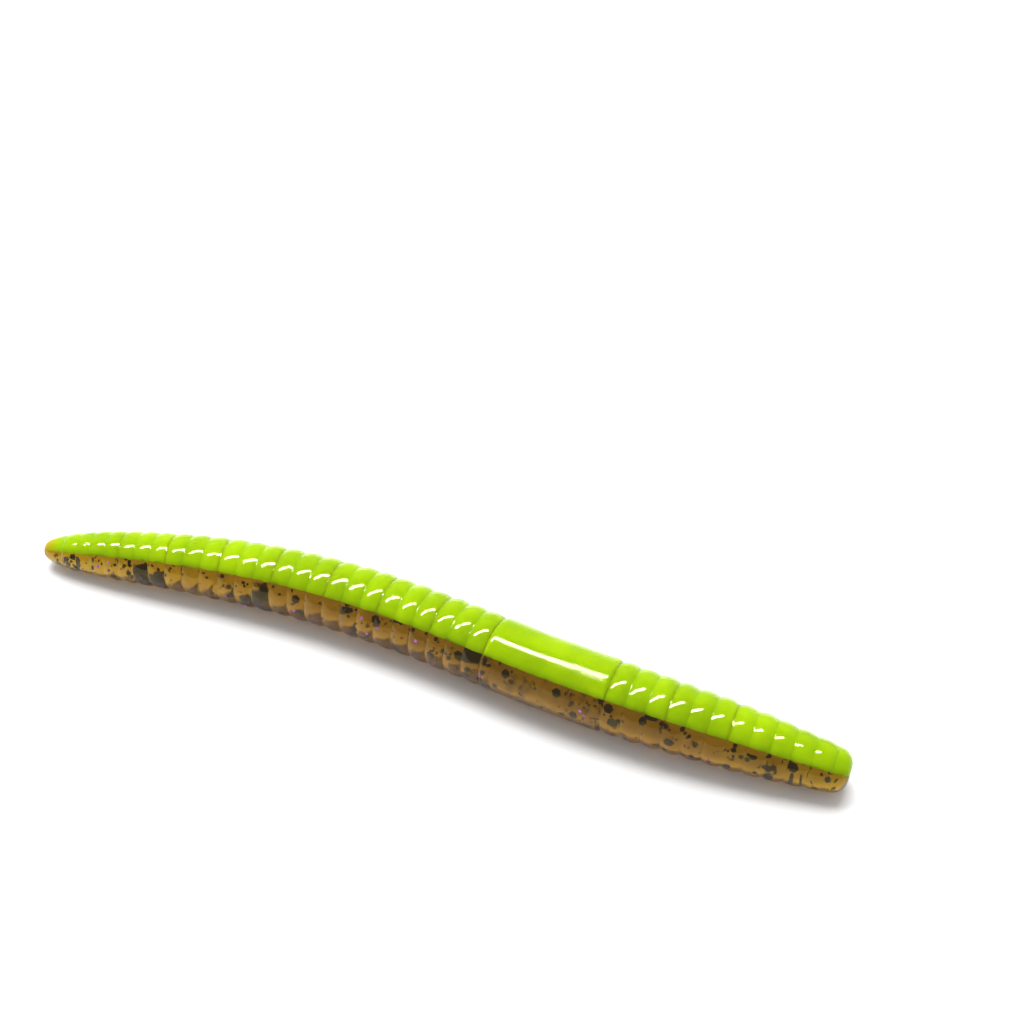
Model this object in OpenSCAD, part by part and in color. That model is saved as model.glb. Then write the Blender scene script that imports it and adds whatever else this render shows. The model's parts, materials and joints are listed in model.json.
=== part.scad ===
// Soft plastic stick worm: two-colour laminate, ringed tail and head with a
// smooth band between them, lying belly up on a flat surface.
//
// The worm lies along X, tail at -X and nose at +X, in a gentle sideways bow.
// It is cast from two laminates that meet on one plane through the axis: the
// translucent back laminate with flakes in it and the opaque belly laminate.
// The flexing body is thirteen stiff sections. Two neighbours meet at a deep
// cone-sided groove, whose width is what one section needs to swing by
// bend_limit about the centre of the groove.

/* [Worm] */
// Length along the body from tail tip to nose
body_length = 127; // [115:1:140]
// Largest diameter, at the smooth band
body_d = 10.8; // [10:0.1:11.6]
// Length of the rounded tail tip, before the first ring
tail_cap = 4; // [3:0.5:5]
// Length of the rounded nose, after the last ring
nose_cap = 2.6; // [2.2:0.1:3.2]
// Diameter of the flat trimmed face on the nose
nose_flat_d = 2.8; // [2:0.2:3.4]

/* [Rings] */
// Depth of the groove between two rings where the body is thickest
ring_depth = 0.42; // [0.2:0.02:0.6]
// Width of the first tail ring as a share of a full ring
first_ring = 0.76; // [0.7:0.02:1]
// Length of the smooth band, in full rings
band_rings = 6.4; // [6:0.2:7]

/* [Laminate] */
// How far the colour split is rolled about the body, from level
split_roll = 43; // [0:1:60]

/* [Flex] */
// Furthest that two neighbouring sections bend, each way from straight
bend_limit = 30; // [16:1:30]
// Half of the gap between two sections at the body's centre
centre_gap = 0.16; // [0.16:0.02:0.24]

/* [Flakes] */
// Width across corners of a large black flake
large_flake = 1.5; // [1:0.1:1.5]
// Width across corners of a fine black flake
fine_flake = 0.6; // [0.4:0.1:0.8]
// Width across corners of a purple flake
purple_flake = 0.5; // [0.4:0.1:0.8]
// Thickness of every flake
flake_t = 0.15; // [0.1:0.01:0.2]

/* [Hidden] */
$fn = 96;

back_colour = [0.58, 0.4, 0.05];
belly_colour = [0.68, 0.86, 0.02];
black_colour = [0.05, 0.05, 0.06];
purple_colour = [0.42, 0.16, 0.5];

tail_rings = 25;
head_rings = 11;
body_r = body_d / 2;

// Ring widths grow over the first nine tail rings, then stay the same.
function share(i) = first_ring + (1 - first_ring) * min(1, (i - 1) / 9);
function shares(n) = n <= 0 ? 0 : share(n) + shares(n - 1);
ring_w = (body_length - tail_cap - nose_cap)
  / (shares(tail_rings) + band_rings + head_rings);
function tail_edge(i) = tail_cap + ring_w * shares(i);
band_a = tail_edge(tail_rings);
band_b = band_a + ring_w * band_rings;
function head_edge(j) = band_b + ring_w * j;
function tail_crest(i) = (tail_edge(i - 1) + tail_edge(i)) / 2;
function head_crest(j) = (head_edge(j - 1) + head_edge(j)) / 2;

// Radius over the ring crests, at a distance s from the tail tip.
full_a = body_length * 66 / 127;
full_b = body_length * 86 / 127;
nose_a = head_edge(head_rings);
function taper(s) =
  s < full_a ? body_r * pow(max(0, 1 - pow(1 - s / full_a, 2)), 0.33)
  : s < full_b ? body_r
  : body_r * (1 - 0.37 * pow((s - full_b) / (body_length * 39 / 127), 2.6));
function nose_r(s) =
  let (t = min(1, (s - nose_a) / nose_cap))
  nose_flat_d / 2 + (taper(nose_a) - nose_flat_d / 2) * sqrt(max(0, 1 - t * t));
function crest_r(s) = s > nose_a ? nose_r(s) : taper(s);
function groove(s) = ring_depth * pow(taper(s) / body_r, 1.5);

// Distances along the body at which the outline is drawn: every ring has five.
steps = 4;
stations = concat(
  [for (t = [0.01, 0.04, 0.1, 0.2, 0.32, 0.46, 0.62, 0.8]) [tail_cap * t, 0]],
  [for (i = [1:tail_rings], q = [0:steps - 1])
    [tail_edge(i - 1) + (tail_edge(i) - tail_edge(i - 1)) * q / steps,
     pow(2 * q / steps - 1, 2)]],
  [[band_a, 1], [band_a + 0.35, 0.3], [band_a + 0.8, 0],
   [band_a + ring_w * band_rings / 4, 0], [band_b - ring_w * band_rings / 4, 0],
   [band_b - 0.8, 0], [band_b - 0.35, 0.3]],
  [for (j = [1:head_rings], q = [0:steps - 1])
    [head_edge(j - 1) + ring_w * q / steps, pow(2 * q / steps - 1, 2)]],
  [for (t = [0, 0.15, 0.3, 0.45, 0.6, 0.72, 0.82, 0.9, 0.96, 1])
    [nose_a + nose_cap * t, 0]]);
function skin(p) = crest_r(p[0]) - p[1] * groove(p[0]);

// The sections, from tail to nose. Each ends on the crest of a ring, at the
// middle of the band, or at an end of the worm.
cuts = [0, tail_crest(3), tail_crest(6), tail_crest(9), tail_crest(12),
  tail_crest(15), tail_crest(18), tail_crest(21), tail_crest(24),
  (band_a + band_b) / 2, head_crest(2), head_crest(5), head_crest(8),
  body_length];
sections = 13;
// Heading of each section from the X axis, clockwise seen from above.
headings = [-9, -8.5, -7.5, -5.5, -2.5, 1, 4, 6.5, 7, 4, 1.5, 0, -1];
// Height of the axis at each cut, so that the crests lie on the surface.
lift = 0.031;
heights = [for (k = [0:sections]) lift
  + (k == 0 ? 0.48 * body_r : k == sections ? 0.64 * body_r : crest_r(cuts[k]))];
function climb(k) =
  asin((heights[k + 1] - heights[k]) / (cuts[k + 1] - cuts[k]));
function step(k) = (cuts[k + 1] - cuts[k]) * cos(climb(k))
  * [cos(headings[k]), -sin(headings[k])];
function reach(k) = k <= 0 ? [0, 0] : reach(k - 1) + step(k - 1);
start = [-63.189, -2.594] * body_length / 127;
function point(k) = let (p = start + reach(k)) [p[0], p[1], heights[k]];

// A section's end is a shallow cone about the pivot, with a small flat tip.
tip_r = 0.5;
slope = tan(bend_limit / 2 + 1);
function cone_at(r) = centre_gap + max(0, r - tip_r) * slope;
function cone_r(t) = tip_r + (t - centre_gap) / slope;
// Where the cone from a cut meets the outline, going along the body by dir.
function rim(s, dir, t = 1, n = 12) = n == 0 ? t
  : rim(s, dir, cone_at(outline(s + dir * t)), n - 1);
function outline(s) =
  let (i = max([for (k = [0:len(stations) - 1]) if (stations[k][0] <= s) k]),
       a = stations[i], b = stations[min(i + 1, len(stations) - 1)],
       f = b[0] > a[0] ? (s - a[0]) / (b[0] - a[0]) : 0)
  skin(a) + (skin(b) - skin(a)) * f;

function profile(k) =
  let (s0 = cuts[k], s1 = cuts[k + 1],
       t0 = k == 0 ? 0 : rim(s0, 1), t1 = k == sections - 1 ? 0 : rim(s1, -1))
  concat(
    k == 0 ? [[0, 0]]
      : [[0, centre_gap], [tip_r, centre_gap], [outline(s0 + t0), t0]],
    [for (p = stations)
      if (p[0] > s0 + t0 + 0.05 && p[0] < s1 - t1 - 0.05) [skin(p), p[0] - s0]],
    k == sections - 1
      ? [[nose_flat_d / 2, s1 - s0], [0, s1 - s0]]
      : [[outline(s1 - t1), s1 - s0 - t1], [tip_r, s1 - s0 - centre_gap],
         [0, s1 - s0 - centre_gap]]);

// Puts a section's own axis, its Z from the cut on the tail side, in place.
module in_place(k) {
  translate(point(k)) rotate([0, 90 - climb(k), -headings[k]]) children();
}

// Half a section, turned from the edge of the split that faces -Y.
module half(k, from) {
  rotate([0, 0, from]) rotate_extrude(angle = 180) polygon(profile(k));
}

// Flakes sit in rows and columns under the skin of the back laminate.
function seg_len(k) = cuts[k + 1] - cuts[k];
function margin_a(k) = k == 0 ? 3.6 : cone_at(crest_r(cuts[k])) + 0.85;
function margin_b(k) =
  k == sections - 1 ? 3.4 : cone_at(crest_r(cuts[k + 1])) + 0.85;
function cols(k) =
  max(1, floor((seg_len(k) - margin_a(k) - margin_b(k)) / 1.85));
function col_s(k, i) = margin_a(k)
  + (i + 0.5) * (seg_len(k) - margin_a(k) - margin_b(k)) / cols(k);
function rows(k, i) =
  floor(PI * (crest_r(cuts[k] + col_s(k, i)) - 0.9) / 2.05);
function kind(k, i, j) = (2 * i + 3 * j + (k == 1 ? 2 : k)) % 5;
module flakes(k, purple) {
  for (i = [0:cols(k) - 1], j = [0:rows(k, i) - 1]) {
    t = kind(k, i, j);
    if (purple == (t == 3)) {
      d = t == 0 ? large_flake : t == 3 ? purple_flake : fine_flake;
      s = col_s(k, i);
      r = crest_r(cuts[k] + s) - 0.95 - (t == 0 ? 0 : 0.35 * ((i + j) % 3));
      a = -90 - split_roll + (j + 0.5) * 180 / rows(k, i);
      rotate([0, 0, a]) translate([r, 0, s])
        rotate([t == 0 ? 6 : 25, 90 + (t == 0 ? 5 : 20), 0])
          rotate([0, 0, 17 * j + 29 * i])
            cylinder(h = flake_t, d = d, center = true, $fn = 6);
    }
  }
}

module back(k) {
  color(back_colour) in_place(k) difference() {
    half(k, -90 - split_roll);
    flakes(k, false);
    flakes(k, true);
  }
}
module belly(k) {
  color(belly_colour) in_place(k) half(k, 90 - split_roll);
}
module black_flakes(k) {
  color(black_colour) in_place(k) flakes(k, false);
}
module purple_flakes(k) {
  color(purple_colour) in_place(k) flakes(k, true);
}

for (k = [0:sections - 1]) {
  back(k);
  belly(k);
  black_flakes(k);
  purple_flakes(k);
}
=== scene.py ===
import json
import math

import bmesh
import bpy
import numpy as np
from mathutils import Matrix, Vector

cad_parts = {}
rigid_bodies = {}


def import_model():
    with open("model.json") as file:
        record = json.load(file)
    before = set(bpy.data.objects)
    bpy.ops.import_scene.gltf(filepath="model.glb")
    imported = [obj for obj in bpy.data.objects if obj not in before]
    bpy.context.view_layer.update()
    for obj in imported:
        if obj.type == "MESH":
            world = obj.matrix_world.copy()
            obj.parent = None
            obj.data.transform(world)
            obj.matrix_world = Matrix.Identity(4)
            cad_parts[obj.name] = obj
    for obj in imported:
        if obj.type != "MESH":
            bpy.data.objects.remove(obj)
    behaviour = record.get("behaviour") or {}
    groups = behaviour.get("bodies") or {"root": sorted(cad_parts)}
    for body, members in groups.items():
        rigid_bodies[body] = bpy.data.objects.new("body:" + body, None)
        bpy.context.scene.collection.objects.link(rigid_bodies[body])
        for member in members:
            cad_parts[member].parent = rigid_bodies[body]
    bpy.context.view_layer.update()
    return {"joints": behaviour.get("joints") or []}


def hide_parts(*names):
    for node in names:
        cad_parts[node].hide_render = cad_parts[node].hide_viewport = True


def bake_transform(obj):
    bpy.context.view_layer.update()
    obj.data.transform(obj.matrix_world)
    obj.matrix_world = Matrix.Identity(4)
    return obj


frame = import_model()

MM = 0.001
scene = bpy.context.scene

# ---------------------------------------------------------------------------
# The worm's outline, in mm along the body from the tail tip. It is the same
# rule as the design's, with rounder rings.
# ---------------------------------------------------------------------------
LENGTH, BODY_R = 127.0, 5.4
TAIL_CAP, NOSE_CAP, NOSE_R = 4.0, 2.6, 1.4
DEPTH, FIRST, BAND, ROLL, LIFT = 0.34, 0.76, 6.4, 43.0, 0.031
TAIL_RINGS, HEAD_RINGS = 25, 11
SHARES = [0.0]
for i in range(1, TAIL_RINGS + 1):
    SHARES.append(SHARES[-1] + FIRST + (1 - FIRST) * min(1, (i - 1) / 9))
RING = (LENGTH - TAIL_CAP - NOSE_CAP) / (SHARES[-1] + BAND + HEAD_RINGS)
TAIL_EDGES = [TAIL_CAP + RING * w for w in SHARES]
BAND_A = TAIL_EDGES[-1]
BAND_B = BAND_A + RING * BAND
HEAD_EDGES = [BAND_B + RING * j for j in range(HEAD_RINGS + 1)]
NOSE_A = HEAD_EDGES[-1]
NAMES = ["tail_tip", "tail_2", "tail_3", "tail_4", "tail_5", "body_1", "body_2",
         "body_3", "band_rear", "band_front", "neck", "head", "nose"]


def middle(edges, i):
    return (edges[i - 1] + edges[i]) / 2


CUTS = [0.0] + [middle(TAIL_EDGES, i) for i in (3, 6, 9, 12, 15, 18, 21, 24)] + [
    (BAND_A + BAND_B) / 2] + [middle(HEAD_EDGES, j) for j in (2, 5, 8)] + [LENGTH]
# Where one visible piece ends and the next starts: always the bottom of a groove.
SEAMS = [0.0] + [TAIL_EDGES[i] for i in (4, 7, 10, 13, 16, 19, 22, 25)] + [
    BAND_B, HEAD_EDGES[3], HEAD_EDGES[6], LENGTH]
HEADINGS = np.radians([-9, -8.5, -7.5, -5.5, -2.5, 1, 4, 6.5, 7, 4, 1.5, 0, -1])


def taper(s):
    s = np.asarray(s, float)
    tail = BODY_R * np.clip(1 - (1 - np.clip(s, 0, 66) / 66) ** 2, 0, 1) ** 0.33
    head = BODY_R * (1 - 0.37 * (np.clip(s - 86, 0, None) / 39) ** 2.6)
    return np.where(s < 66, tail, np.where(s < 86, BODY_R, head))


def crest(s):
    s = np.asarray(s, float)
    t = np.clip((s - NOSE_A) / NOSE_CAP, 0, 1)
    nose = NOSE_R + (float(taper(NOSE_A)) - NOSE_R) * np.sqrt(1 - t * t)
    return np.where(s > NOSE_A, nose, taper(s))


def ring_of(s):
    """(0 to 1 across a ring, the ring's number) at s; 0.5 and -1 where there is none."""
    s = np.atleast_1d(np.asarray(s, float))
    u, number = np.full(s.shape, 0.5), np.full(s.shape, -1.0)
    for first, edges in ((0, TAIL_EDGES), (40, HEAD_EDGES)):
        for i in range(len(edges) - 1):
            inside = (s >= edges[i] - 1e-9) & (s <= edges[i + 1] + 1e-9)
            u[inside] = (s[inside] - edges[i]) / (edges[i + 1] - edges[i])
            number[inside] = first + i
    return u, number


def dip(s):
    """How far into a groove s is, from 0 on a crest to 1 at the bottom."""
    u, number = ring_of(s)
    p = np.abs(2 * u - 1)
    edge, power = 0.93, 2.0
    slope = power * edge ** (power - 1)
    q = (p - edge) / (1 - edge)
    foot = edge ** power + slope * (1 - edge) * (q - q * q / 2)
    g = np.where(p < edge, p ** power, foot)
    s = np.atleast_1d(np.asarray(s, float))
    shoulder = np.maximum(np.clip(1 - (s - BAND_A) / 0.8, 0, 1), np.clip(1 - (BAND_B - s) / 0.8, 0, 1))
    shoulder = np.maximum(shoulder, np.where(s < TAIL_CAP, np.clip(1 - (TAIL_CAP - s) / 0.6, 0, 1), 0))
    shoulder = np.maximum(shoulder, np.where(s > NOSE_A, np.clip(1 - (s - NOSE_A) / 0.7, 0, 1), 0))
    return np.where(number < 0, shoulder ** 2.2, g)


def radius(s, a):
    """Distance of the skin from the axis, in mm, at s and at the angle a in radians."""
    s = np.asarray(s, float)
    deep = DEPTH * (taper(s) / BODY_R) ** 1.8
    uneven = 1 + 0.07 * np.sin(0.71 * s + 2 * a) + 0.05 * np.sin(1.9 * s - 3 * a)
    wobble = 0.022 * np.sin(0.31 * s + 2 * a) + 0.014 * np.sin(0.83 * s - 3 * a + 1)
    fade = np.clip(s / 6, 0, 1) * np.clip((LENGTH - s) / 6, 0, 1)
    return crest(s) - dip(s) * deep * uneven + (wobble - 0.03) * fade


# ---------------------------------------------------------------------------
# The axis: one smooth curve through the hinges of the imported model.
# ---------------------------------------------------------------------------
hinges = {}
for j in frame["joints"]:
    pair = sorted((NAMES.index(j["parent"]), NAMES.index(j["child"])))
    hinges[pair[1]] = np.array(j["pos_m"], float) / MM
heights = [LIFT + 0.48 * BODY_R] + [hinges[k][2] for k in range(1, 13)] + [LIFT + 0.64 * BODY_R]


def leg(k):
    length = CUTS[k + 1] - CUTS[k]
    climb = math.asin((heights[k + 1] - heights[k]) / length)
    return length * np.array([math.cos(climb) * math.cos(HEADINGS[k]),
                              -math.cos(climb) * math.sin(HEADINGS[k]), math.sin(climb)])


KNOTS = np.array([hinges[1] - leg(0)] + [hinges[k] for k in range(1, 13)] + [hinges[12] + leg(12)])
steps = np.diff(CUTS)
chords = np.diff(KNOTS, axis=0) / steps[:, None]
SLOPES = np.vstack([chords[:1],
                    (chords[:-1] * steps[1:, None] + chords[1:] * steps[:-1, None]) / (steps[1:] + steps[:-1])[:, None],
                    chords[-1:]])
for k in (1, 12):
    SLOPES[k, 2] = (taper(CUTS[k] + 0.01) - taper(CUTS[k] - 0.01)) / 0.02


def axis_point(s):
    s = np.asarray(s, float)
    k = np.clip(np.searchsorted(CUTS, s, side="right") - 1, 0, 12)
    h = steps[k]
    t = (s - np.array(CUTS)[k]) / h
    h00, h10 = 2 * t ** 3 - 3 * t ** 2 + 1, t ** 3 - 2 * t ** 2 + t
    h01, h11 = -2 * t ** 3 + 3 * t ** 2, t ** 3 - t ** 2
    p = (h00[..., None] * KNOTS[k] + (h10 * h)[..., None] * SLOPES[k]
         + h01[..., None] * KNOTS[k + 1] + (h11 * h)[..., None] * SLOPES[k + 1])
    lying = (s > CUTS[1]) & (s < CUTS[12])
    p[..., 2] = np.where(lying, LIFT + taper(s), p[..., 2])
    return p


def directions(s):
    """Forward, down and left at s, unit vectors."""
    s = np.asarray(s, float)
    t = axis_point(np.clip(s + 0.05, 0, LENGTH)) - axis_point(np.clip(s - 0.05, 0, LENGTH))
    t /= np.linalg.norm(t, axis=-1, keepdims=True)
    left = np.stack([-t[..., 1], t[..., 0], np.zeros(t.shape[:-1])], -1)
    left /= np.linalg.norm(left, axis=-1, keepdims=True)
    return t, -np.cross(t, left), left


def place(s, a, r):
    """The point at s along the body, at the angle a from straight down, r from the axis, in mm."""
    s, a, r = np.broadcast_arrays(np.asarray(s, float), a, r)
    _, down, left = directions(s)
    return axis_point(s) + r[..., None] * (np.cos(a)[..., None] * down + np.sin(a)[..., None] * left)


def skin_normal(s, a):
    e = 0.004
    sa, sb = np.clip(s - e, 0.0, LENGTH), np.clip(s + e, 0.0, LENGTH)
    along = place(sb, a, radius(sb, a)) - place(sa, a, radius(sa, a))
    around = place(s, a + 0.01, radius(s, a + 0.01)) - place(s, a - 0.01, radius(s, a - 0.01))
    n = np.cross(around, along)
    out = place(s, a, 1.0) - place(s, a, 0.0)
    n *= np.sign((n * out).sum(-1, keepdims=True) + 1e-12)
    return n / np.maximum(np.linalg.norm(n, axis=-1, keepdims=True), 1e-12)


ring_steps = [0, 0.018, 0.036, 0.07, 0.12, 0.18, 0.25, 0.33, 0.415]
ring_steps = ring_steps + [0.5] + [1 - v for v in reversed(ring_steps[1:])]
STATIONS = [TAIL_CAP * v for v in (0.0, 0.004, 0.015, 0.04, 0.08, 0.14, 0.22, 0.32, 0.44, 0.57, 0.7, 0.82, 0.92)]
for edges in (TAIL_EDGES, HEAD_EDGES):
    for i in range(len(edges) - 1):
        STATIONS += [edges[i] + (edges[i + 1] - edges[i]) * v for v in ring_steps]
STATIONS += [BAND_A + v for v in (0.0, 0.1, 0.2, 0.32, 0.46, 0.6, 0.8)]
STATIONS += [BAND_B - v for v in (0.0, 0.1, 0.2, 0.32, 0.46, 0.6, 0.8)]
STATIONS += list(np.linspace(BAND_A + 1.0, BAND_B - 1.0, 56))
STATIONS += [NOSE_A + NOSE_CAP * math.sin(v * math.pi / 2) for v in np.linspace(0, 1, 16)]
STATIONS = np.array(sorted(set(round(float(v), 6) for v in STATIONS)))

BACK_FROM = math.radians(-90 - ROLL)
BELLY_FROM = math.radians(90 - ROLL)
AROUND = 60
GAP = 0.0025


def set_attribute(mesh, name, values, domain="POINT"):
    attribute = mesh.attributes.new(name, "FLOAT", domain)
    attribute.data.foreach_set("value", np.asarray(values, np.float32))


def outward(mesh):
    """Turns every face of a closed mesh outwards."""
    work = bmesh.new()
    work.from_mesh(mesh)
    bmesh.ops.recalc_face_normals(work, faces=work.faces)
    if work.calc_volume(signed=True) < 0:
        bmesh.ops.reverse_faces(work, faces=work.faces)
    work.to_mesh(mesh)
    work.free()
    mesh.update()


def half_piece(name, s0, s1, start, materials):
    """One stretch of a laminate, a closed half round solid, as a mesh piece."""
    s = STATIONS[(STATIONS > s0 + 1e-4) & (STATIONS < s1 - 1e-4)]
    tip, nose = s0 == 0.0, s1 == LENGTH
    s = np.concatenate([[s0 + (0.0 if tip else GAP)], s, [s1 - (0.0 if nose else GAP)]])
    a = start + np.linspace(0, math.pi, AROUND + 1)
    S, A = np.meshgrid(s, a, indexing="ij")
    R = radius(S, A)
    if tip:
        R[0] = 0.0
    _, down, left = directions(s)
    into = start + math.pi / 2
    push = 0.002 * (math.cos(into) * down + math.sin(into) * left)
    skin = place(S, A, R) + push[:, None]
    centre = axis_point(s) + push
    n, m = len(s), AROUND + 1
    verts = np.vstack([skin.reshape(-1, 3), centre])
    c0 = n * m
    faces, kinds = [], []
    for i in range(n - 1):
        for j in range(m - 1):
            p = i * m + j
            if tip and i == 0:
                faces.append((c0, p + m, p + m + 1))
            else:
                faces.append((p, p + m, p + m + 1, p + 1))
            kinds.append(0)
        if tip and i == 0:
            faces += [(c0, c0 + 1, m), (c0, 2 * m - 1, c0 + 1)]
        else:
            faces += [(i * m, c0 + i, c0 + i + 1, (i + 1) * m),
                      (c0 + i, i * m + m - 1, (i + 1) * m + m - 1, c0 + i + 1)]
        kinds += [1, 1]
    for i, closed in ((0, tip), (n - 1, False)):
        if closed:
            continue
        for j in range(m - 1):
            faces.append((c0 + i, i * m + j, i * m + j + 1))
            kinds.append(2 if (nose and i == n - 1) else 1)
    used = sorted(set(v for f in faces for v in f))
    index = {v: i for i, v in enumerate(used)}
    verts = verts[used]
    faces = [tuple(index[v] for v in f) for f in faces]
    mesh = bpy.data.meshes.new(name)
    mesh.from_pydata((verts * MM).tolist(), [], faces)
    for material in materials:
        mesh.materials.append(material)
    outward(mesh)
    mesh.polygons.foreach_set("material_index", [1 if k == 1 else 0 for k in kinds])
    mesh.polygons.foreach_set("use_smooth", [k == 0 for k in kinds])
    # What the materials read: place along the body, groove depth, distance to the split.
    all_s = np.concatenate([S.ravel(), s])[used]
    all_a = np.concatenate([A.ravel(), np.full(n, into)])[used]
    all_r = np.concatenate([R.ravel(), np.zeros(n)])[used]
    edge = np.minimum(np.abs(all_a - start), np.abs(all_a - start - math.pi)) * all_r
    set_attribute(mesh, "along", all_s)
    set_attribute(mesh, "around", np.degrees(all_a))
    set_attribute(mesh, "dip", dip(all_s))
    set_attribute(mesh, "edge", edge)
    set_attribute(mesh, "thick", all_r / BODY_R)
    smooth = skin_normal(all_s, all_a)
    if tip:
        smooth[all_s < 1e-6] = -directions(np.array([0.0]))[0][0]
    flat = np.array([p.normal for p in mesh.polygons])
    loops = []
    for p, kind in zip(mesh.polygons, kinds):
        for v in p.vertices:
            loops.append(tuple(smooth[v]) if kind == 0 else tuple(flat[p.index]))
    mesh.normals_split_custom_set(loops)
    piece = bpy.data.objects.new(name, mesh)
    scene.collection.objects.link(piece)
    return piece


# ---------------------------------------------------------------------------
# Materials
# ---------------------------------------------------------------------------
class Nodes:
    def __init__(self, name):
        self.m = bpy.data.materials.new(name)
        self.m.use_nodes = True
        self.t = self.m.node_tree
        self.b = self.t.nodes["Principled BSDF"]
        self.out = self.t.nodes["Material Output"]

    def link(self, a, b):
        self.t.links.new(a, b)

    def feed(self, node, sockets):
        for key, value in sockets.items():
            if isinstance(value, bpy.types.NodeSocket):
                self.link(value, node.inputs[key])
            else:
                node.inputs[key].default_value = value

    def attribute(self, name):
        n = self.t.nodes.new("ShaderNodeAttribute")
        n.attribute_name = name
        return n.outputs["Fac"]

    def place(self):
        return self.t.nodes.new("ShaderNodeTexCoord").outputs["Object"]

    def stretched(self, vector, scale):
        n = self.t.nodes.new("ShaderNodeMapping")
        self.feed(n, {"Vector": vector})
        n.inputs["Scale"].default_value = scale
        return n.outputs[0]

    def noise(self, vector, scale, detail=2.0, rough=0.5):
        n = self.t.nodes.new("ShaderNodeTexNoise")
        self.feed(n, {"Vector": vector, "Scale": scale, "Detail": detail, "Roughness": rough})
        return n.outputs["Fac"]

    def voronoi(self, vector, scale):
        n = self.t.nodes.new("ShaderNodeTexVoronoi")
        self.feed(n, {"Vector": vector, "Scale": scale})
        return n.outputs["Distance"]

    def math(self, kind, a, b=0.0, clamp=False):
        n = self.t.nodes.new("ShaderNodeMath")
        n.operation, n.use_clamp = kind, clamp
        self.feed(n, {0: a, 1: b})
        return n.outputs[0]

    def span(self, value, a, b, c=0.0, d=1.0, smooth=True):
        n = self.t.nodes.new("ShaderNodeMapRange")
        n.interpolation_type = "SMOOTHSTEP" if smooth else "LINEAR"
        self.feed(n, {"Value": value, "From Min": a, "From Max": b, "To Min": c, "To Max": d})
        return n.outputs["Result"]

    def mix(self, share, a, b):
        n = self.t.nodes.new("ShaderNodeMix")
        n.data_type = "RGBA"
        for key, value in (("Factor", share), ("A", a), ("B", b)):
            socket = [s for s in n.inputs if s.name == key and s.enabled][0]
            if isinstance(value, bpy.types.NodeSocket):
                self.link(value, socket)
            else:
                socket.default_value = value
        return [s for s in n.outputs if s.enabled][0]

    def combine(self, x, y, z):
        n = self.t.nodes.new("ShaderNodeCombineXYZ")
        self.feed(n, {0: x, 1: y, 2: z})
        return n.outputs[0]

    def bump(self, height, distance, strength=1.0):
        n = self.t.nodes.new("ShaderNodeBump")
        self.feed(n, {"Height": height, "Distance": distance, "Strength": strength})
        return n.outputs[0]


def band_mask(n):
    along = n.attribute("along")
    return n.math("MULTIPLY", n.span(along, BAND_A + 0.5, BAND_A + 1.2), n.span(along, BAND_B - 1.2, BAND_B - 0.5, 1.0, 0.0))


def lines_round_body(n):
    """Fine lines that run round the body, in the coordinates of the skin."""
    along, around = n.attribute("along"), n.attribute("around")
    where = n.combine(n.math("MULTIPLY", along, 4.0), n.math("MULTIPLY", around, 0.105), 0.0)
    return n.noise(where, 1.0, 3.0, 0.65)


def belly_material():
    n = Nodes("chartreuse_plastic")
    along, edge, low = n.attribute("along"), n.attribute("edge"), n.attribute("dip")
    cloud = n.noise(n.place(), 170.0, 3.0)
    fine = n.noise(n.place(), 900.0, 2.0)
    lit = n.mix(n.span(cloud, 0.3, 0.7), (0.235, 0.385, 0.0, 1), (0.30, 0.47, 0.0, 1))
    # Painted light: the grooves are painted a little lighter and greener, lifting the shade that falls in them.
    colour = n.mix(n.math("MULTIPLY", n.span(low, 0.3, 1.0), 0.22), lit, (0.25, 0.47, 0.0, 1))
    ragged = n.math("ADD", edge, n.math("MULTIPLY", n.math("SUBTRACT", n.noise(n.place(), 420.0, 3.0), 0.5), 0.9))
    colour = n.mix(n.math("MULTIPLY", n.span(ragged, 0.0, 1.1, 1.0, 0.0), 0.35), colour, (0.09, 0.19, 0.0, 1))
    colour = n.mix(n.math("MULTIPLY", n.span(ragged, -0.1, 0.24, 1.0, 0.0), 0.65), colour, (0.03, 0.06, 0.001, 1))
    colour = n.mix(n.span(along, 0.3, 3.6, 1.0, 0.0), colour, (0.42, 0.30, 0.005, 1))
    n.link(colour, n.b.inputs["Base Color"])
    band = n.math("MULTIPLY", band_mask(n), n.span(along, BAND_A + 3.0, BAND_B - 2.0, 0.35, 1.5))
    rough = n.math("ADD", 0.06, n.math("MULTIPLY", n.span(fine, 0.35, 0.75), 0.06))
    n.link(n.math("SUBTRACT", rough, n.math("MULTIPLY", band_mask(n), 0.03)), n.b.inputs["Roughness"])
    height = n.math("ADD", n.math("MULTIPLY", lines_round_body(n), n.math("ADD", n.math("MULTIPLY", band, 0.9), 0.1)),
                    n.math("MULTIPLY", fine, 0.12))
    n.link(n.bump(height, 0.00004, 1.0), n.b.inputs["Normal"])
    n.b.inputs["IOR"].default_value = 1.5
    n.b.inputs["Specular IOR Level"].default_value = 0.2
    n.b.inputs["Specular Tint"].default_value = (1.0, 1.0, 0.55, 1)
    n.b.inputs["Subsurface Weight"].default_value = 1.0
    n.b.inputs["Subsurface Radius"].default_value = (1.0, 1.0, 0.3)
    n.b.inputs["Subsurface Scale"].default_value = 0.0022
    return n.m


def core_material():
    """The face of the belly laminate that is fused to the back laminate."""
    n = Nodes("chartreuse_core")
    cloud = n.noise(n.place(), 240.0, 3.0)
    # Painted light: this face is coloured a brighter, more amber tone than the chartreuse laminate. The colour stands
    # in for light reaching it through the back laminate.
    n.link(n.mix(n.span(cloud, 0.3, 0.7), (0.86, 0.66, 0.01, 1), (0.95, 0.76, 0.02, 1)), n.b.inputs["Base Color"])
    n.link(n.span(cloud, 0.2, 0.8, 0.6, 0.8), n.b.inputs["Roughness"])
    n.b.inputs["Specular IOR Level"].default_value = 0.0
    return n.m


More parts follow.
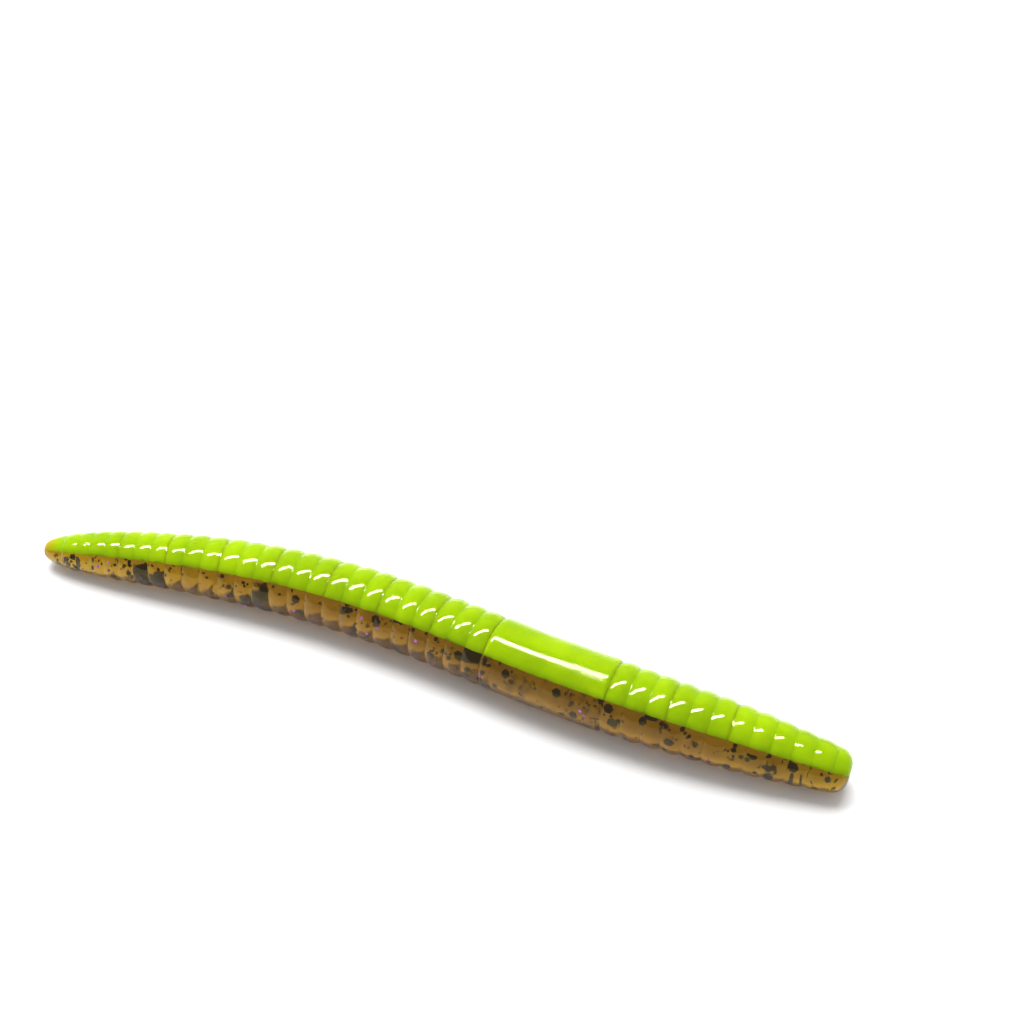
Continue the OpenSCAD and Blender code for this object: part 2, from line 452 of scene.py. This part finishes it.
def back_material():
    n = Nodes("green_pumpkin_plastic")
    cloud = n.noise(n.place(), 200.0, 3.0)
    fine = n.noise(n.place(), 1100.0, 2.0)
    thin = n.mix(n.span(cloud, 0.3, 0.7), (0.36, 0.20, 0.001, 1), (0.44, 0.26, 0.0015, 1))
    full = n.mix(n.span(cloud, 0.3, 0.7), (0.19, 0.08, 0.0008, 1), (0.28, 0.13, 0.001, 1))
    amber = n.mix(n.span(n.attribute("thick"), 0.35, 0.98), thin, full)
    amber = n.mix(n.math("MULTIPLY", n.span(n.attribute("edge"), 0.0, 2.2, 1.0, 0.0), 0.5), amber, (0.13, 0.08, 0.001, 1))
    n.link(amber, n.b.inputs["Base Color"])
    n.link(n.span(fine, 0.3, 0.8, 0.03, 0.09), n.b.inputs["Roughness"])
    band = band_mask(n)
    height = n.math("ADD", n.math("MULTIPLY", lines_round_body(n), n.math("ADD", n.math("MULTIPLY", band, 0.8), 0.12)),
                    n.math("MULTIPLY", n.noise(n.place(), 500.0, 2.0), 0.5))
    n.link(n.bump(height, 0.00004, 1.0), n.b.inputs["Normal"])
    n.b.inputs["IOR"].default_value = 1.5
    n.b.inputs["Specular IOR Level"].default_value = 0.1
    n.b.inputs["Specular Tint"].default_value = (1.0, 0.8, 0.4, 1)
    n.b.inputs["Transmission Weight"].default_value = 0.985
    return n.m


def cut_material():
    """Inside faces of the back laminate, where it is fused to what is next to it: not a surface that shows."""
    n = Nodes("green_pumpkin_inside")
    n.b.inputs["Alpha"].default_value = 0.0
    return n.m


def flake_material(name, dark, light, metal, rough, spec):
    n = Nodes(name)
    shade = n.attribute("shade")
    worn = n.noise(n.place(), 2200.0, 2.0)
    n.link(n.mix(n.math("MULTIPLY", shade, n.span(worn, 0.2, 0.9, 0.6, 1.0)), dark, light), n.b.inputs["Base Color"])
    n.link(n.span(worn, 0.2, 0.8, rough - 0.08, rough + 0.1), n.b.inputs["Roughness"])
    n.b.inputs["Metallic"].default_value = metal
    n.b.inputs["Specular IOR Level"].default_value = spec
    return n.m


belly_skin, belly_core = belly_material(), core_material()
back_skin, back_cut = back_material(), cut_material()
black = flake_material("black_film", (0.001, 0.001, 0.002, 1), (0.006, 0.005, 0.008, 1), 0.0, 0.4, 0.0)
purple = flake_material("purple_film", (0.20, 0.035, 0.30, 1), (0.52, 0.16, 0.62, 1), 0.85, 0.32, 0.4)

# ---------------------------------------------------------------------------
# Flakes: thin hexagons of film inside the back laminate.
# ---------------------------------------------------------------------------
chance = np.random.default_rng(41)


def scatter():
    """(s, angle, distance below the skin, width, thickness, tilt, turn, is purple) of every flake."""
    made = []

    def clear(s, a, r, w, slack):
        p = place(s, a, r)
        return all(np.linalg.norm(p - q) > slack * (w + v) / 2 for q, v in taken)

    taken = []

    def add(s, a, below, w, t, tilt, turn, colour, slack=0.9):
        skin = float(radius(np.array([s]), np.array([a]))[0])
        top = skin - below
        if below < 0.1 and float(dip(np.array([s]))[0]) > 0.3:
            return False
        half = w / 2
        if top < 0.4 or skin < 1.1:
            return False
        reach = min(abs(a - BACK_FROM), abs(a - BACK_FROM - math.pi)) * top
        if reach < half * 0.75 or s < 1.5 + half or s > LENGTH - 1.2 - half:
            return False
        if not clear(s, a, top, w, slack):
            return False
        made.append((s, a, top, w, t, tilt, turn, colour))
        taken.append((place(s, a, top), w))
        return True

    for s, a, w in PLACED:
        add(s, math.radians(a), 0.26 + 0.16 * (w > 1), w, 0.09 if w > 1 else 0.07, (0.12, 0.1), chance.uniform(0, 6), 0, 0.5)
    counts = (("large", 44), ("medium", 130), ("fine", 460), ("purple", 120))
    for kind, count in counts:
        done = tries = 0
        while done < count and tries < count * 30:
            tries += 1
            s = chance.uniform(1.5, LENGTH - 1.5)
            if kind != "large" and made and chance.random() < 0.45:
                s = made[int(chance.integers(len(made)))][0] + chance.normal(0, 1.6)
            a = BACK_FROM + chance.uniform(0.03, 0.97) * math.pi
            if not 1.4 < s < LENGTH - 1.3:
                continue
            if kind == "large":
                w, t, below, tilt = chance.uniform(1.25, 1.55), 0.09, 0.42 + chance.exponential(0.5), 0.22
            elif kind == "medium":
                w, t, below, tilt = chance.uniform(0.62, 0.95), 0.07, 0.3 + chance.exponential(0.7), 0.6
            elif kind == "fine":
                w, t, below, tilt = chance.uniform(0.3, 0.55), 0.06, 0.22 + chance.exponential(0.9), 0.9
            else:
                w, t, below, tilt = chance.uniform(0.34, 0.55), 0.05, 0.2 + chance.exponential(0.55), 0.5
            tilts = (float(chance.normal(0, tilt)), float(chance.normal(0, tilt)))
            if kind == "purple" and done % 2:
                # Every other purple flake lies flat in the skin itself.
                done += add(s, a, 0.012, w, t, None, chance.uniform(0, 6), 1)
                continue
            if add(s, a, max(below, w / 2 * abs(math.sin(max(map(abs, tilts)))) + 0.14), w, t, tilts,
                   chance.uniform(0, 6), 1 if kind == "purple" else 0):
                done += 1
    return made


# The biggest flakes that show on the side of the split that faces the light.
PLACED = [
    (37.5, -118, 1.4), (42.9, -114, 1.35), (56.1, -122, 1.4), (85.5, -118, 1.45), (98.1, -119, 1.4), (102.2, -96, 1.45),
    (119.3, -119, 1.5), (124.2, -112, 1.0), (15.4, -127, 0.6), (4.6, -111, 0.55), (30.7, -127, 0.7), (68.7, -105, 0.8),
    (74.2, -120, 0.75), (78.8, -108, 0.9), (62.4, -128, 0.7), (66.2, -128, 0.7), (94.8, -105, 0.85), (100.7, -126, 0.8),
    (111.0, -128, 0.7), (113.1, -108, 0.8), (115.5, -102, 0.75), (108.1, -75, 0.8), (115.8, -128, 0.65), (103.6, -128, 0.8)]
FLAKES = scatter()


def flake_piece(name, chosen, material):
    verts, faces, shades = [], [], []
    for s, a, r, w, t, tilt, turn, _ in chosen:
        fwd, down, left = (v[0] for v in directions(np.array([s])))
        centre = place(np.array([s]), np.array([a]), np.array([r]))[0]
        out = math.cos(a) * down + math.sin(a) * left
        side = np.cross(out, fwd)
        if tilt is None:
            z = skin_normal(np.array([s]), np.array([a]))[0]
        else:
            z = out + math.tan(max(-1.2, min(1.2, tilt[0]))) * fwd + math.tan(max(-1.2, min(1.2, tilt[1]))) * side
        z /= np.linalg.norm(z)
        x = fwd - (fwd @ z) * z
        x /= np.linalg.norm(x)
        y = np.cross(z, x)
        base = len(verts)
        shade = chance.random()
        for h in (-t / 2, t / 2):
            for i in range(6):
                g = turn + i * math.pi / 3
                stretch = w / 2 * (1 + 0.06 * math.sin(3 * turn + 2 * i))
                verts.append(centre + stretch * (math.cos(g) * x + math.sin(g) * y) + h * z)
        faces += [tuple(base + i for i in (5, 4, 3, 2, 1, 0)), tuple(base + 6 + i for i in range(6))]
        faces += [(base + i, base + (i + 1) % 6, base + 6 + (i + 1) % 6, base + 6 + i) for i in range(6)]
        shades += [shade] * 12
    mesh = bpy.data.meshes.new(name)
    mesh.from_pydata((np.array(verts) * MM).tolist(), [], faces)
    outward(mesh)
    mesh.materials.append(material)
    set_attribute(mesh, "shade", shades)
    piece = bpy.data.objects.new(name, mesh)
    scene.collection.objects.link(piece)
    return piece


# ---------------------------------------------------------------------------
# The pieces: each lies round one hinge, and its shape runs smoothly across it.
# ---------------------------------------------------------------------------
def hang(piece, k, kind):
    forward = directions(np.array([CUTS[k]]))[0][0]
    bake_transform(piece)
    nodes = [kind + "_" + NAMES[k]] + ([kind + "_" + NAMES[0]] if k == 1 else [])
    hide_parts(*nodes)


for k in range(1, 13):
    label = NAMES[k - 1] + "_to_" + NAMES[k]
    s0, s1 = SEAMS[k - 1], SEAMS[k]
    hang(half_piece("belly_laminate_" + label, s0, s1, BELLY_FROM, [belly_skin, belly_core]), k, "belly")
    hang(half_piece("back_laminate_" + label, s0, s1, BACK_FROM, [back_skin, back_cut]), k, "back")
    here = [f for f in FLAKES if s0 <= f[0] < s1]
    hang(flake_piece("black_flakes_" + label, [f for f in here if not f[7]], black), k, "black_flakes")
    hang(flake_piece("purple_flakes_" + label, [f for f in here if f[7]], purple), k, "purple_flakes")

# ---------------------------------------------------------------------------
# Stage, light and camera
# ---------------------------------------------------------------------------
floor_mesh = bpy.data.meshes.new("floor")
size = 3.0
grid = 12
floor_mesh.from_pydata([(size * (2 * i / grid - 1), size * (2 * j / grid - 1), 0.0) for j in range(grid + 1) for i in range(grid + 1)], [],
                       [(j * (grid + 1) + i, j * (grid + 1) + i + 1, (j + 1) * (grid + 1) + i + 1, (j + 1) * (grid + 1) + i)
                        for j in range(grid) for i in range(grid)])
floor = bpy.data.objects.new("floor", floor_mesh)
scene.collection.objects.link(floor)
n = Nodes("pale_floor")
n.link(n.mix(n.noise(n.place(), 90.0, 2.0), (0.83, 0.83, 0.83, 1), (0.86, 0.86, 0.86, 1)), n.b.inputs["Base Color"])
n.b.inputs["Roughness"].default_value = 0.6
n.b.inputs["Specular IOR Level"].default_value = 0.2
floor_mesh.materials.append(n.m)

world = bpy.data.worlds.new("studio")
scene.world = world
world.use_nodes = True
world.node_tree.nodes["Background"].inputs["Color"].default_value = (1.0, 1.0, 1.0, 1)
world.node_tree.nodes["Background"].inputs["Strength"].default_value = 0.62


def area(name, at, aim, sx, sy, radiance, turn=0.0, colour=(1, 1, 1)):
    """A soft box of a given brightness. Its power follows from its size."""
    light = bpy.data.lights.new(name, "AREA")
    light.shape, light.size, light.size_y = "RECTANGLE", sx, sy
    light.energy = radiance * sx * sy * math.pi
    light.color = colour
    lamp = bpy.data.objects.new(name, light)
    scene.collection.objects.link(lamp)
    lamp.location = at
    back = (Vector(at) - Vector(aim)).normalized()
    # The box's long side lies along X, turned about the line to the worm.
    x = Vector((math.cos(turn), math.sin(turn), 0))
    x = (x - x.dot(back) * back).normalized()
    y = back.cross(x)
    from mathutils import Matrix
    lamp.rotation_mode = "QUATERNION"
    lamp.rotation_quaternion = Matrix((x, y, back)).transposed().to_quaternion()
    return lamp


strip = area("strip_box", (-0.141, 0.074, 0.526), (0, 0, 0), 0.60, 0.062, 170.0, math.radians(18))
strip.visible_diffuse = False
soft = area("soft_box", (-0.12, 0.20, 0.50), (0, 0, 0), 0.55, 0.45, 6.5, math.radians(10))
soft.visible_glossy = False

camera = bpy.data.cameras.new("camera")
camera.sensor_width, camera.lens = 36.0, 66.43
camera.clip_start, camera.clip_end = 0.01, 20.0
eye = bpy.data.objects.new("camera", camera)
scene.collection.objects.link(eye)
aim = Vector((0.00031, 0.03236, 0.0))
az, el = math.radians(20.12), math.radians(46.39)
back = Vector((math.sin(az) * math.cos(el), -math.cos(az) * math.cos(el), math.sin(el)))
eye.location = aim + 0.300 * back
eye.rotation_mode = "QUATERNION"
eye.rotation_quaternion = (-back).to_track_quat("-Z", "Y")
scene.camera = eye

scene.view_settings.view_transform = "Standard"
scene.cycles.max_bounces = 16
scene.cycles.transmission_bounces = 16
scene.cycles.transparent_max_bounces = 24
